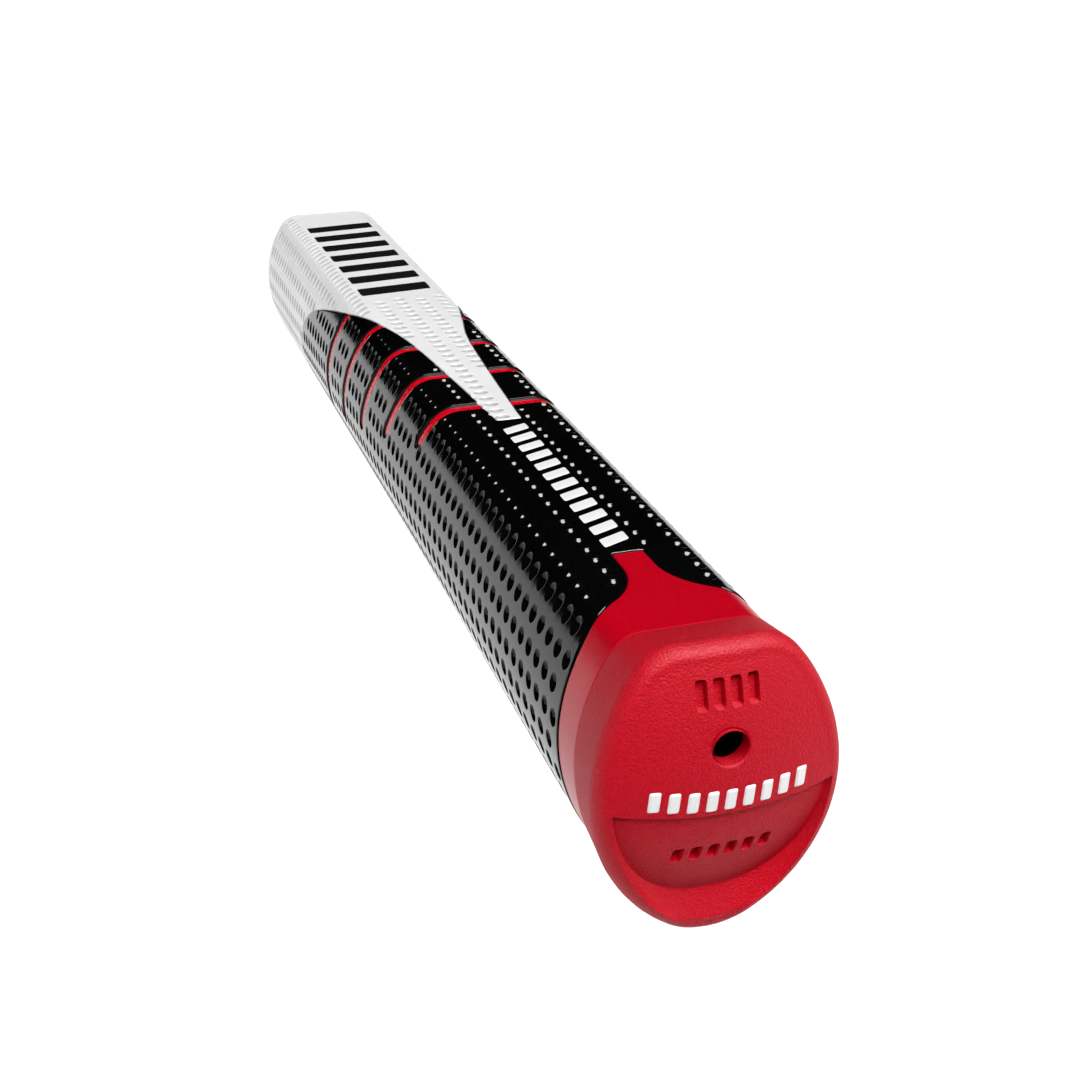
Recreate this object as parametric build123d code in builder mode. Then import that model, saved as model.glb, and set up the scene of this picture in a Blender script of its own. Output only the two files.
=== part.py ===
"""Flat-top putter grip: foam core, felt, polyurethane skins, rubber end cap and nose.

The shaft's bore lies along Y. The origin is where the shaft's butt end seats in the cap,
the mouth is toward +Y, the cap's face toward -Y and the flat thumb face toward +Z.
"""

from build123d import *
from math import acos, atan2, cos, degrees, hypot, pi, sin, sqrt
import os

# ---- lengths along the bore, measured from the cap's face -------------------------------
grip_length = 267.0         # overall, 10.5 in
end_wall = 6.0              # cap material between its face and the seated shaft
parting_at = 12.2           # line where the cap's flange meets its collar
collar_end_at = 18.4        # edge of the red collar, where the black skin starts
tongue_tip_at = 33.5        # tip of the cap's tongue on the flat
blade_tip_at = 87.4         # tip of the white skin's blade on the flat
swoosh_end_at = 215.0       # where the black skin reaches furthest toward the mouth
nose_length = 7.0           # rounded nose at the mouth

# ---- shaft bore and vent ---------------------------------------------------------------
shaft_diameter = 14.732     # 0.580 in putter shaft
vent_diameter = 4.2

# ---- laminate --------------------------------------------------------------------------
skin_thickness = 0.8
felt_thickness = 0.4
seam_width = 3.0

# ---- cross-sections: flat top, shoulders, wide flanks, round keel ------------------------
# top and bottom are heights from the bore's axis
butt_section = {"top": 9.3, "half_flat": 6.0, "shoulder_r": 4.4, "flank_r": 25.0,
                "bottom": 27.2, "keel_r": 9.6}
mouth_section = {"top": 9.6, "half_flat": 7.4, "shoulder_r": 5.8, "flank_r": 24.0,
                 "bottom": 28.8, "keel_r": 8.0}
flange_section = {"top": 12.3, "half_flat": 3.4, "shoulder_r": 8.0, "flank_r": 24.8,
                  "bottom": 28.4, "keel_r": 6.5}
dome_radius = 45.0          # the cap's slightly domed face
dome_drop = 6.0             # the dome's centre lies this far under the bore's axis
face_edge_r = 2.0
nose_round = 1.6            # how far the nose pulls in at the mouth

# ---- tongue and blade, half-widths on the flat --------------------------------------------
tongue_half_width = 2.1
tongue_flare_r = 11.0
blade_half_width = 2.0
blade_neck = (3.5, 27.0)    # half-width, distance past the tip
blade_shoulder = (7.5, 61.0)
blade_flank = (13.7, 105.0)
blade_side_half_width = 16.4
blade_side_height = -8.0    # under this height the border runs straight round the keel

# ---- accent grooves ------------------------------------------------------------------------
groove_count = 5
first_groove_at = 95.5
groove_pitch = 18.0
groove_width = 3.2
groove_depth = 0.35
groove_lean = 20.0          # degrees toward the mouth on the way down the side
first_groove_end = 4.0      # height where the first groove stops
groove_end_step = 4.6       # each next groove reaches this much lower
paint_width = 2.5
paint_thickness = 0.15

# ---- printed and filled marks ----------------------------------------------------------------
mark_depth = 0.15
flat_mark_count = 12
flat_mark_start_at = 37.5
flat_mark_pitch = 4.1
flat_mark_size = (4.2, 2.6)     # across the flat, along it
flat_mark_middle = -0.35        # across the flat, between two rows of dimples
flat_mark_slant = 0.9
lower_mark_count = 7
lower_mark_start_at = 176.5
lower_mark_pitch = 11.0
lower_mark_size = (14.4, 6.0)
cap_mark_count = 9
cap_mark_size = (1.1, 2.4)
cap_mark_pitch = 2.15
cap_mark_height = -6.2      # middle mark, from the bore's axis
cap_mark_rise = 0.010       # the row curves up toward its ends
cap_mark_depth = 0.5

# ---- pocket in the cap's face -------------------------------------------------------------------
pocket_top = -8.0           # heights from the bore's axis
pocket_half_width = 12.7
pocket_bottom = -21.2
pocket_line_sag = 0.8
pocket_side = (10.6, -15.8)  # half-width and height part way down
pocket_tilt = 12.0          # degrees, deeper toward the keel
pocket_step = 0.6

# ---- worked out ------------------------------------------------------------------------------------
face_y = -end_wall
parting_y = face_y + parting_at
collar_y = face_y + collar_end_at
tongue_y = face_y + tongue_tip_at
mouth_y = face_y + grip_length
nose_y = mouth_y - nose_length
bore_r = shaft_diameter / 2
laminate = skin_thickness + felt_thickness
tall = 4 * butt_section["bottom"]       # taller and wider than any section
os.makedirs("parts", exist_ok=True)


def across(y):
    """The plane square to the bore at y, with X to the right and Z up."""
    return Plane.XZ.offset(-y)


def blend(first, second, share):
    """A section between two sections."""
    return {key: first[key] + share * (second[key] - first[key]) for key in first}


def section(y, shape, inset=0.0):
    """The closed outline of one cross-section, pulled in by inset, as a sketch at y."""
    shoulder_r = shape["shoulder_r"] - inset
    flank_r = shape["flank_r"] - inset
    keel_r = shape["keel_r"] - inset
    shoulder = (shape["half_flat"], shape["top"] - shape["shoulder_r"])
    keel = (0, shape["keel_r"] - shape["bottom"])
    # the flank's circle is tangent inside to the shoulder's and the keel's circles
    span = hypot(shoulder[0] - keel[0], shoulder[1] - keel[1])
    to_shoulder = flank_r - shoulder_r
    to_keel = flank_r - keel_r
    heading = atan2(keel[1] - shoulder[1], keel[0] - shoulder[0])
    swing = acos((to_shoulder**2 + span**2 - to_keel**2) / (2 * to_shoulder * span))
    flank = (shoulder[0] + to_shoulder * cos(heading - swing),
             shoulder[1] + to_shoulder * sin(heading - swing))
    high = degrees(atan2(shoulder[1] - flank[1], shoulder[0] - flank[0]))
    low = degrees(atan2(keel[1] - flank[1], keel[0] - flank[0]))
    top = shape["top"] - inset
    with BuildSketch(across(y)) as outline:
        with BuildLine():
            Line((-shape["half_flat"], top), (shape["half_flat"], top))
            CenterArc(shoulder, shoulder_r, high, 90 - high)
            CenterArc(flank, flank_r, low, high - low)
            CenterArc(keel, keel_r, -180 - low, 180 + 2 * low)
            CenterArc((-flank[0], flank[1]), flank_r, 180 - high, high - low)
            CenterArc((-shoulder[0], shoulder[1]), shoulder_r, 90, 90 - high)
        make_face()
    return outline.sketch


def body(inset):
    """The grip's whole body between the parting line and the nose, pulled in by inset."""
    return [section(parting_y, butt_section, inset), section(nose_y, mouth_section, inset)]


def shell(outer_inset, inner_inset):
    """A layer of the body between two insets."""
    with BuildPart() as layer:
        loft(body(outer_inset), ruled=True)
        loft(body(inner_inset), ruled=True, mode=Mode.SUBTRACT)
    return layer.part


def slab(start, end, low=-tall, high=tall):
    """Everything between two places on Y and two heights."""
    with BuildPart() as block:
        with BuildSketch(across(start)):
            with Locations((0, (low + high) / 2)):
                Rectangle(2 * tall, high - low)
        extrude(amount=start - end)
    return block.part


# ---- regions of the surface ------------------------------------------------------------------------
# the cap's region: all round up to the collar's edge, and the tongue on the flat
flare_x = tongue_half_width + tongue_flare_r
with BuildPart() as cap_region:
    with BuildSketch(Plane.XY):
        with BuildLine():
            Line((-flare_x, collar_y), (flare_x, collar_y))
            RadiusArc((flare_x, collar_y), (tongue_half_width, collar_y + tongue_flare_r),
                      tongue_flare_r)
            Line((tongue_half_width, collar_y + tongue_flare_r), (tongue_half_width, tongue_y))
            Line((tongue_half_width, tongue_y), (-tongue_half_width, tongue_y))
            Line((-tongue_half_width, tongue_y), (-tongue_half_width, collar_y + tongue_flare_r))
            RadiusArc((-tongue_half_width, collar_y + tongue_flare_r), (-flare_x, collar_y),
                      tongue_flare_r)
        make_face()
    extrude(amount=tall)
    add(slab(face_y - end_wall, collar_y))

# the white skin's region: the blade on the flat, swept down the sides, and the mouth end
blade_y = face_y + blade_tip_at
swoosh_y = face_y + swoosh_end_at
blade_points = [(blade_half_width, blade_y),
                (blade_neck[0], blade_y + blade_neck[1]),
                (blade_shoulder[0], blade_y + blade_shoulder[1]),
                (blade_flank[0], blade_y + blade_flank[1]),
                (blade_side_half_width, swoosh_y)]
with BuildPart() as white_region:
    with BuildSketch(Plane.XY.offset(blade_side_height)):
        with BuildLine():
            Line((-blade_half_width, blade_y), (blade_half_width, blade_y))
            right_edge = Spline(*blade_points)
            Line(right_edge @ 1, (tall, swoosh_y))
            Polyline((tall, swoosh_y), (tall, mouth_y), (-tall, mouth_y), (-tall, swoosh_y))
            Line((-tall, swoosh_y), (-blade_side_half_width, swoosh_y))
            mirror(right_edge, about=Plane.YZ)
        make_face()
    extrude(amount=tall)
    add(slab(swoosh_y, mouth_y))

# ---- marks that are filled with paint ----------------------------------------------------------------


def slanted_bar(size, slant):
    """One slanted bar as a sketch at the current locations."""
    half_w = size[0] / 2
    half_l = size[1] / 2
    Polygon((-half_w, -half_l - slant), (half_w, -half_l + slant),
            (half_w, half_l + slant), (-half_w, half_l - slant))


with BuildPart() as flat_mark_fill:
    with BuildSketch(Plane.XY):
        for number in range(flat_mark_count):
            with Locations((flat_mark_middle, face_y + flat_mark_start_at + number * flat_mark_pitch)):
                slanted_bar(flat_mark_size, flat_mark_slant)
    extrude(amount=tall)
    add(shell(0, mark_depth), mode=Mode.INTERSECT)
flat_mark_fill.part.label = "flat_mark_fill"
export_step(flat_mark_fill.part, "parts/flat_mark_fill.step")

with BuildPart() as lower_mark_fill:
    with BuildSketch(Plane.XY):
        for number in range(lower_mark_count):
            with Locations((0, face_y + lower_mark_start_at + number * lower_mark_pitch)):
                slanted_bar(lower_mark_size, flat_mark_slant)
    extrude(amount=tall)
    add(shell(0, mark_depth), mode=Mode.INTERSECT)
lower_mark_fill.part.label = "lower_mark_fill"
export_step(lower_mark_fill.part, "parts/lower_mark_fill.step")

# ---- accent grooves and their paint ----------------------------------------------------------------------


def groove_bands(width):
    """Leaning slabs, one for each groove, cut off at the groove's lower end."""
    with BuildPart() as bands:
        for number in range(groove_count):
            groove_y = face_y + first_groove_at + number * groove_pitch
            end_height = first_groove_end - number * groove_end_step
            pivot = Plane(origin=(0, groove_y, butt_section["top"]), x_dir=(1, 0, 0),
                          z_dir=(0, -1, 0)).rotated((-groove_lean, 0, 0))
            with BuildSketch(pivot):
                with Locations((0, (end_height - butt_section["top"]) / 2)):
                    Rectangle(2 * tall, butt_section["top"] - end_height + 2 * laminate)
            extrude(amount=width / 2, both=True)
    return bands.part


with BuildPart() as groove_cut:
    add(shell(-skin_thickness, groove_depth))
    add(groove_bands(groove_width), mode=Mode.INTERSECT)

with BuildPart() as groove_paint:
    add(shell(groove_depth - paint_thickness, groove_depth))
    add(groove_bands(paint_width), mode=Mode.INTERSECT)
    add(white_region.part, mode=Mode.SUBTRACT)

with BuildPart() as groove_paint_left:
    add(groove_paint.part)
    split(bisect_by=Plane.YZ, keep=Keep.BOTTOM)
groove_paint_left.part.label = "groove_paint_left"
export_step(groove_paint_left.part, "parts/groove_paint_left.step")

with BuildPart() as groove_paint_right:
    add(groove_paint.part)
    split(bisect_by=Plane.YZ, keep=Keep.TOP)
groove_paint_right.part.label = "groove_paint_right"
export_step(groove_paint_right.part, "parts/groove_paint_right.step")

# ---- core -----------------------------------------------------------------------------------------------------
with BuildPart() as underlisting_sleeve:
    loft(body(laminate), ruled=True)
    with BuildSketch(across(parting_y)):
        Circle(bore_r)
    extrude(amount=parting_y - nose_y, mode=Mode.SUBTRACT)
underlisting_sleeve.part.label = "underlisting_sleeve"
export_step(underlisting_sleeve.part, "parts/underlisting_sleeve.step")

# ---- felt that the skins are coated on ---------------------------------------------------------------------------
felt_backing = shell(skin_thickness, laminate)
felt_backing.label = "felt_backing"
export_step(felt_backing, "parts/felt_backing.step")

# ---- seam along the keel: the joint of the wrap, filled and sealed ----------------------------------------------


def seam_band(start, end):
    """The strip's share of the skin layer, along the keel between two places on Y."""
    with BuildPart() as band:
        with BuildSketch(Plane.XY):
            with Locations((0, (start + end) / 2)):
                Rectangle(seam_width, end - start)
        extrude(amount=-tall)
        add(shell(0, skin_thickness), mode=Mode.INTERSECT)
    return band.part


seam_strip_upper = seam_band(collar_y, swoosh_y)
seam_strip_upper.label = "seam_strip_upper"
export_step(seam_strip_upper, "parts/seam_strip_upper.step")

seam_strip_lower = seam_band(swoosh_y, nose_y)
seam_strip_lower.label = "seam_strip_lower"
export_step(seam_strip_lower, "parts/seam_strip_lower.step")

# ---- skins --------------------------------------------------------------------------------------------------------
with BuildPart() as black_skin:
    add(shell(0, skin_thickness))
    add(white_region.part, mode=Mode.SUBTRACT)
    add(cap_region.part, mode=Mode.SUBTRACT)
    add(seam_strip_upper, mode=Mode.SUBTRACT)
    add(groove_cut.part, mode=Mode.SUBTRACT)
    add(flat_mark_fill.part, mode=Mode.SUBTRACT)
black_skin.part.label = "black_skin"
export_step(black_skin.part, "parts/black_skin.step")

with BuildPart() as white_skin:
    add(shell(0, skin_thickness))
    add(white_region.part, mode=Mode.INTERSECT)
    add(seam_strip_lower, mode=Mode.SUBTRACT)
    add(lower_mark_fill.part, mode=Mode.SUBTRACT)
white_skin.part.label = "white_skin"
export_step(white_skin.part, "parts/white_skin.step")

# ---- rubber cap: domed flange, collar and tongue ----------------------------------------------------------------------
with BuildPart() as flange:
    loft([section(face_y, flange_section), section(parting_y, butt_section)], ruled=True)
    with Locations((0, face_y + dome_radius, -dome_drop)):
        Sphere(dome_radius, mode=Mode.INTERSECT)
    front = flange.faces().sort_by(Axis.Y)[0]
    fillet(front.edges(), radius=face_edge_r)

with BuildPart() as cap_marks:
    for number in range(cap_mark_count):
        offset_x = (number - (cap_mark_count - 1) / 2) * cap_mark_pitch
        rise = cap_mark_rise * offset_x**2
        with BuildSketch(across(face_y)):
            with Locations((offset_x, cap_mark_height + rise)):
                Rectangle(*cap_mark_size)
        drop = dome_radius - sqrt(dome_radius**2 - offset_x**2
                                  - (dome_drop + cap_mark_height + rise)**2)
        extrude(amount=-drop - cap_mark_depth)

with BuildPart() as cap_mark_fill:
    add(cap_marks.part)
    add(flange.part, mode=Mode.INTERSECT)
cap_mark_fill.part.label = "cap_mark_fill"
export_step(cap_mark_fill.part, "parts/cap_mark_fill.step")

pocket_floor = Plane(origin=(0, face_y + pocket_step, pocket_top), x_dir=(1, 0, 0),
                     z_dir=(0, -1, 0)).rotated((pocket_tilt, 0, 0))
with BuildPart() as butt_cap:
    add(flange.part)
    add(shell(0, skin_thickness).intersect(cap_region.part))
    with BuildSketch(across(0)):
        Circle(bore_r)
    extrude(amount=-parting_y, mode=Mode.SUBTRACT)
    with BuildSketch(across(face_y)):
        Circle(vent_diameter / 2)
    extrude(amount=-end_wall, mode=Mode.SUBTRACT)
    with BuildSketch(pocket_floor):
        with BuildLine():
            ThreePointArc((-pocket_half_width, pocket_line_sag), (0, 0),
                          (pocket_half_width, pocket_line_sag))
            Spline((pocket_half_width, pocket_line_sag),
                   (pocket_side[0], pocket_side[1] - pocket_top),
                   (0, pocket_bottom - pocket_top),
                   (-pocket_side[0], pocket_side[1] - pocket_top),
                   (-pocket_half_width, pocket_line_sag))
        make_face()
    extrude(amount=end_wall, mode=Mode.SUBTRACT)
    add(cap_mark_fill.part, mode=Mode.SUBTRACT)
butt_cap.part.label = "butt_cap"
export_step(butt_cap.part, "parts/butt_cap.step")

# ---- nose at the mouth ---------------------------------------------------------------------------------------------------
nose_steps = 4
nose_sections = []
for step in range(nose_steps + 1):
    angle = pi / 2 * step / nose_steps
    nose_sections.append(section(nose_y + nose_length * sin(angle), mouth_section,
                                 nose_round * (1 - cos(angle))))
with BuildPart() as mouth_collar:
    loft(nose_sections, ruled=True)
    with BuildSketch(across(nose_y)):
        Circle(bore_r)
    extrude(amount=-nose_length, mode=Mode.SUBTRACT)
mouth_collar.part.label = "mouth_collar"
export_step(mouth_collar.part, "parts/mouth_collar.step")
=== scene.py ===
import math

import bpy
import numpy as np
from mathutils import Matrix, Vector


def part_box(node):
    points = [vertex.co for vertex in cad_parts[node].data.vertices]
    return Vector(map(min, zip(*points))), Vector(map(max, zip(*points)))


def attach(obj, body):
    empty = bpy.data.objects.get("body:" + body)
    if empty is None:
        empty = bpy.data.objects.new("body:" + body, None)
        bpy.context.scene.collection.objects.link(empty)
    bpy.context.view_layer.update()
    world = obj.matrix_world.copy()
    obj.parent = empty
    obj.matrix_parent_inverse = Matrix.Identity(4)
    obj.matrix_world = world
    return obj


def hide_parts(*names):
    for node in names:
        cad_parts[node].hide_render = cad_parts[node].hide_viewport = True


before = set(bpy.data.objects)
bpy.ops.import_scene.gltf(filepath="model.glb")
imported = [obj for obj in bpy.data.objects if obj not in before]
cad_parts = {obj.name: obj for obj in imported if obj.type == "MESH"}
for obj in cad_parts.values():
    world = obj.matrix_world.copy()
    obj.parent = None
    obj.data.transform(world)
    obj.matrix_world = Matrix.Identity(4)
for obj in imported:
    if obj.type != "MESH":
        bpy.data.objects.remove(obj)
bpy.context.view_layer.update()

MM = 0.001

# ------------------------------------------------------------------ places, in mm, from the frame


def node_box(name):
    low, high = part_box(name)
    return np.array(low) / MM, np.array(high) / MM


face_y = node_box("butt_cap")[0][1]
parting_y = node_box("felt_backing")[0][1]
nose_y = node_box("mouth_collar")[0][1]
mouth_y = node_box("mouth_collar")[1][1]
collar_y = node_box("seam_strip_upper")[0][1]
swoosh_y = node_box("seam_strip_lower")[0][1]
tongue_y = node_box("butt_cap")[1][1]
blade_y = node_box("white_skin")[0][1]
bore_r = 7.366
skin_thickness = 0.8

# the same sections as the CAD's, as heights and radii round the bore's axis
BUTT = {"top": 9.3, "half_flat": 6.0, "shoulder_r": 4.4, "flank_r": 25.0, "bottom": 27.2, "keel_r": 9.6}
MOUTH = {"top": 9.6, "half_flat": 7.4, "shoulder_r": 5.8, "flank_r": 24.0, "bottom": 28.8, "keel_r": 8.0}
FLANGE = {"top": 12.3, "half_flat": 3.4, "shoulder_r": 8.0, "flank_r": 24.8, "bottom": 28.4, "keel_r": 6.5}
DOME_R = 45.0
DOME_DROP = 6.0

# ------------------------------------------------------------------ the grip's surface


def solve(shape):
    """A section's arc centres and the angles where its arcs meet."""
    shoulder = np.array([shape["half_flat"], shape["top"] - shape["shoulder_r"]])
    keel = np.array([0.0, shape["keel_r"] - shape["bottom"]])
    to_shoulder = shape["flank_r"] - shape["shoulder_r"]
    to_keel = shape["flank_r"] - shape["keel_r"]
    span = np.linalg.norm(keel - shoulder)
    heading = math.atan2(keel[1] - shoulder[1], keel[0] - shoulder[0])
    swing = math.acos((to_shoulder**2 + span**2 - to_keel**2) / (2 * to_shoulder * span))
    flank = shoulder + to_shoulder * np.array([math.cos(heading - swing), math.sin(heading - swing)])
    high = math.atan2(shoulder[1] - flank[1], shoulder[0] - flank[0])
    low = math.atan2(keel[1] - flank[1], keel[0] - flank[0])
    lengths = [shape["half_flat"], shape["shoulder_r"] * (math.pi / 2 - high),
               shape["flank_r"] * (high - low), shape["keel_r"] * (low + math.pi / 2)]
    return dict(shape, shoulder=shoulder, flank=flank, keel=keel, high=high, low=low,
                knots=np.concatenate([[0.0], np.cumsum(lengths)]))


butt, mouth, flange = solve(BUTT), solve(MOUTH), solve(FLANGE)
KNOTS = (butt["knots"] + mouth["knots"]) / 2    # way round from the flat's middle, at mid length
HALF_ROUND = KNOTS[-1]


def outline(sec, way):
    """Points and outward normals of a section at places 0 to 4: flat, shoulder, flank, keel."""
    x, z, nx, nz = (np.zeros_like(way) for _ in range(4))
    on = way <= 1
    x[on], z[on], nz[on] = way[on] * sec["half_flat"], sec["top"], 1.0
    arcs = ((1, "shoulder", math.pi / 2, sec["high"]), (2, "flank", sec["high"], sec["low"]),
            (3, "keel", sec["low"], -math.pi / 2))
    for start, name, first, last in arcs:
        on = (way > start) & (way <= start + 1.0001)
        angle = first + (last - first) * (way[on] - start)
        nx[on], nz[on] = np.cos(angle), np.sin(angle)
        x[on] = sec[name][0] + sec[name + "_r"] * nx[on]
        z[on] = sec[name][1] + sec[name + "_r"] * nz[on]
    return x, z, nx, nz


def surface(s, y, depth=0.0, first=butt, last=mouth, start=parting_y, end=nose_y):
    """A point on the grip, s round from the flat's middle and y along, sunk by depth."""
    side = np.where(s < 0, -1.0, 1.0)
    way = np.interp(np.abs(s), KNOTS, range(5))
    share = (y - start) / (end - start)
    a, b = outline(first, way), outline(last, way)
    x, z, nx, nz = (p + share * (q - p) for p, q in zip(a, b))
    norm = np.hypot(nx, nz)
    return side * (x - depth * nx / norm), y + 0 * x, z - depth * nz / norm


def on_grip(s, y, depth=0.0):
    """The same points as rows of x, y and z."""
    return np.stack(surface(s, y, depth), axis=1)


def normals(s):
    """Outward directions at the butt section."""
    way = np.interp(np.abs(s), KNOTS, range(5))
    _, _, nx, nz = outline(butt, way)
    return nx * np.where(s < 0, -1.0, 1.0), nz


# ------------------------------------------------------------------ where things are on the surface

TONGUE_HALF = 2.1
TONGUE_FLARE = 11.0
GROOVES = 5
FIRST_GROOVE = face_y + 95.5
GROOVE_PITCH = 18.0
GROOVE_HALF = 1.6
GROOVE_DEPTH = 0.35
GROOVE_LEAN = math.tan(math.radians(20.0))
GROOVE_END = 4.0          # height of the first groove's end
GROOVE_END_STEP = 4.6     # how much lower each next one ends
SEAM_HALF = 1.5
OFF_SURFACE = 99.0        # a distance past everything

# the white blade's edge: way round from the middle, distance along from the tip
BLADE_EDGE = np.array([(2.0, 0.0), (3.4, 22.0), (5.1, 45.0), (7.6, 61.0), (11.0, 78.0), (16.9, 105.0),
                       (25.6, 121.0), (36.0, 127.6), (60.0, 127.6)])


def collar_distance(s, y):
    """Distance from the red collar's edge, positive on the black skin."""
    x, _, z = surface(s, y)
    x = np.where(z > 0, np.abs(x), OFF_SURFACE)
    flare_top = collar_y + TONGUE_FLARE
    flat = y - collar_y
    flare = TONGUE_FLARE - np.hypot(x - TONGUE_HALF - TONGUE_FLARE, y - flare_top)
    beside = x - TONGUE_HALF
    over = y - tongue_y
    tip = np.where((beside > 0) & (over > 0), np.hypot(beside, over), np.maximum(beside, over))
    return np.where(x >= TONGUE_HALF + TONGUE_FLARE, flat, np.where(y < flare_top, flare, tip))


def white_distance(s, y):
    """Distance from the white skin's edge, positive on the white skin."""
    way, along = BLADE_EDGE.T
    slopes = np.gradient(along, way)
    edge = hermite(np.abs(s), way, along + blade_y, slopes)
    ahead = 0.05
    steep = (hermite(np.abs(s) + ahead, way, along + blade_y, slopes) - edge) / ahead
    side = (y - edge) / np.sqrt(1 + steep**2)
    return np.minimum(side, y - blade_y)


def hermite(at, xs, ys, slopes):
    """A smooth curve through given points with given slopes."""
    k = np.clip(np.searchsorted(xs, at) - 1, 0, len(xs) - 2)
    h = xs[k + 1] - xs[k]
    t = np.clip((at - xs[k]) / h, 0, 1)
    return (ys[k] * (1 + 2 * t) * (1 - t)**2 + ys[k + 1] * t * t * (3 - 2 * t)
            + h * slopes[k] * t * (1 - t)**2 - h * slopes[k + 1] * t * t * (1 - t))


ALL_ROUND = np.linspace(0, HALF_ROUND, 400)
HEIGHTS = surface(ALL_ROUND, (parting_y + nose_y) / 2)[2]


def groove_line(number, s):
    """Where a groove's middle runs, and how much it leans there."""
    nx, _ = normals(s)
    height = np.interp(np.abs(s), ALL_ROUND, HEIGHTS)
    middle = FIRST_GROOVE + number * GROOVE_PITCH + GROOVE_LEAN * (HEIGHTS[0] - height)
    return middle, np.sqrt(1 + (GROOVE_LEAN * nx)**2)


def groove_end(number):
    """How far round a groove reaches."""
    end_height = GROOVE_END - number * GROOVE_END_STEP
    return np.interp(-end_height, -HEIGHTS, ALL_ROUND)


def groove_distance(s, y):
    """Distance outside the nearest groove's edge, negative in the groove."""
    nearest = np.full_like(s, OFF_SURFACE)
    for number in range(GROOVES):
        middle, lean = groove_line(number, s)
        beyond = np.maximum(np.abs(s) - groove_end(number), 0)
        nearest = np.minimum(nearest, np.hypot((y - middle) / lean, beyond) - GROOVE_HALF)
    return nearest


def smooth(value, low, high):
    """A soft step from 0 at low to 1 at high."""
    t = np.clip((value - low) / (high - low), 0, 1)
    return t * t * (3 - 2 * t)


def seam_room(s, y):
    """Distance from the seam strip's edge, on the underside."""
    return HALF_ROUND - SEAM_HALF - np.abs(s)


LIP_TURN = 0.98           # just under 1, so that the rounded edge never quite turns upright


def lip(distance, radius):
    """How far a rounded edge of this radius falls away near the edge."""
    inside = np.clip(radius - np.maximum(distance, 0), 0, radius)
    return radius - np.sqrt(radius**2 - inside**2 * LIP_TURN)


# ------------------------------------------------------------------ flat meshes that get cut along curves


PIT = "pit"               # a mesh attribute: how deep in a dimple a point is, from 0 to 1
MERGE_STEPS = 2000        # points closer than 1/2000 mm become one
ON_CURVE = 1e-6


def merge(points, faces):
    """Joins points that coincide."""
    keys = np.round(np.asarray(points) * MERGE_STEPS).astype(np.int64)
    _, first, where = np.unique(keys, axis=0, return_index=True, return_inverse=True)
    where = where.ravel()
    return np.asarray(points)[first], [tuple(where[i] for i in face) for face in faces]


def grid(ss, ys):
    """A plain grid of quads over ss and ys."""
    points = [(s, y) for y in ys for s in ss]
    n = len(ss)
    faces = [(r * n + c, r * n + c + 1, (r + 1) * n + c + 1, (r + 1) * n + c)
             for r in range(len(ys) - 1) for c in range(n - 1)]
    return points, faces


def cut(points, faces, level, drop=True):
    """Splits faces where level changes sign, and drops what is under zero if asked."""
    value = level(points[:, 0], points[:, 1])
    value[np.abs(value) < ON_CURVE] = ON_CURVE
    above = value > 0
    new_points, crossing, kept = [], {}, []

    def meet(a, b):
        key = (a, b) if a < b else (b, a)
        if key not in crossing:
            t = value[key[0]] / (value[key[0]] - value[key[1]])
            crossing[key] = len(points) + len(new_points)
            new_points.append(points[key[0]] * (1 - t) + points[key[1]] * t)
        return crossing[key]

    for face in faces:
        signs = [above[i] for i in face]
        if all(signs):
            kept.append(face)
            continue
        if not any(signs):
            if not drop:
                kept.append(face)
            continue
        upper, lower = [], []
        for here, after in zip(face, face[1:] + face[:1]):
            (upper if above[here] else lower).append(here)
            if above[here] != above[after]:
                cross = meet(here, after)
                upper.append(cross)
                lower.append(cross)
        if len(upper) > 2:
            kept.append(tuple(upper))
        if len(lower) > 2 and not drop:
            kept.append(tuple(lower))
    if new_points:
        points = np.vstack([points, new_points])
    return points, kept


def cut_loops(points, faces, level, values):
    """Adds edges along a curve's neighbours, so that a step or a rounding there stays crisp."""
    for value in values:
        points, faces = cut(points, faces, lambda a, b: level(a, b) - value, False)
    return points, faces


def compact(points, faces):
    """Leaves out the points that no face uses."""
    used = sorted({i for face in faces for i in face})
    renumber = {old: new for new, old in enumerate(used)}
    return points[used], [tuple(renumber[i] for i in face) for face in faces]


def open_edges(faces):
    """Directed edges that belong to one face only."""
    edges = set()
    for face in faces:
        for a, b in zip(face, face[1:] + face[:1]):
            if (b, a) in edges:
                edges.remove((b, a))
            else:
                edges.add((a, b))
    return sorted(edges)


def with_skirt(coords, faces, sunk):
    """Adds a wall down from each open edge to the sunk copies of its points."""
    edges = open_edges(faces)
    ids = sorted({i for edge in edges for i in edge})
    below = {old: len(coords) + k for k, old in enumerate(ids)}
    coords = np.vstack([coords, sunk[ids]])
    return coords, faces + [(b, a, below[a], below[b]) for a, b in edges]


def ring_quads(first, after):
    """Quads between two closed rings of point numbers."""
    n = len(first)
    return [(first[(k + 1) % n], first[k], after[k], after[(k + 1) % n]) for k in range(n)]


def joined(coords, faces, more, more_faces):
    """Adds one mesh to another."""
    moved = [tuple(i + len(coords) for i in face) for face in more_faces]
    return np.vstack([coords, more]), faces + moved


def make_object(name, coords, faces, material, node, sharp=40.0):
    """Makes a piece that rides on the body and stands for a CAD node."""
    mesh = bpy.data.meshes.new(name)
    mesh.from_pydata([tuple(p) for p in np.asarray(coords) * MM], [], [tuple(map(int, f)) for f in faces])
    mesh.validate()
    mesh.shade_smooth()
    mesh.set_sharp_from_angle(angle=math.radians(sharp))
    mesh.materials.append(material)
    piece = bpy.data.objects.new(name, mesh)
    bpy.context.scene.collection.objects.link(piece)
    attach(piece, "root")
    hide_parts(node)
    return piece


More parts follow.
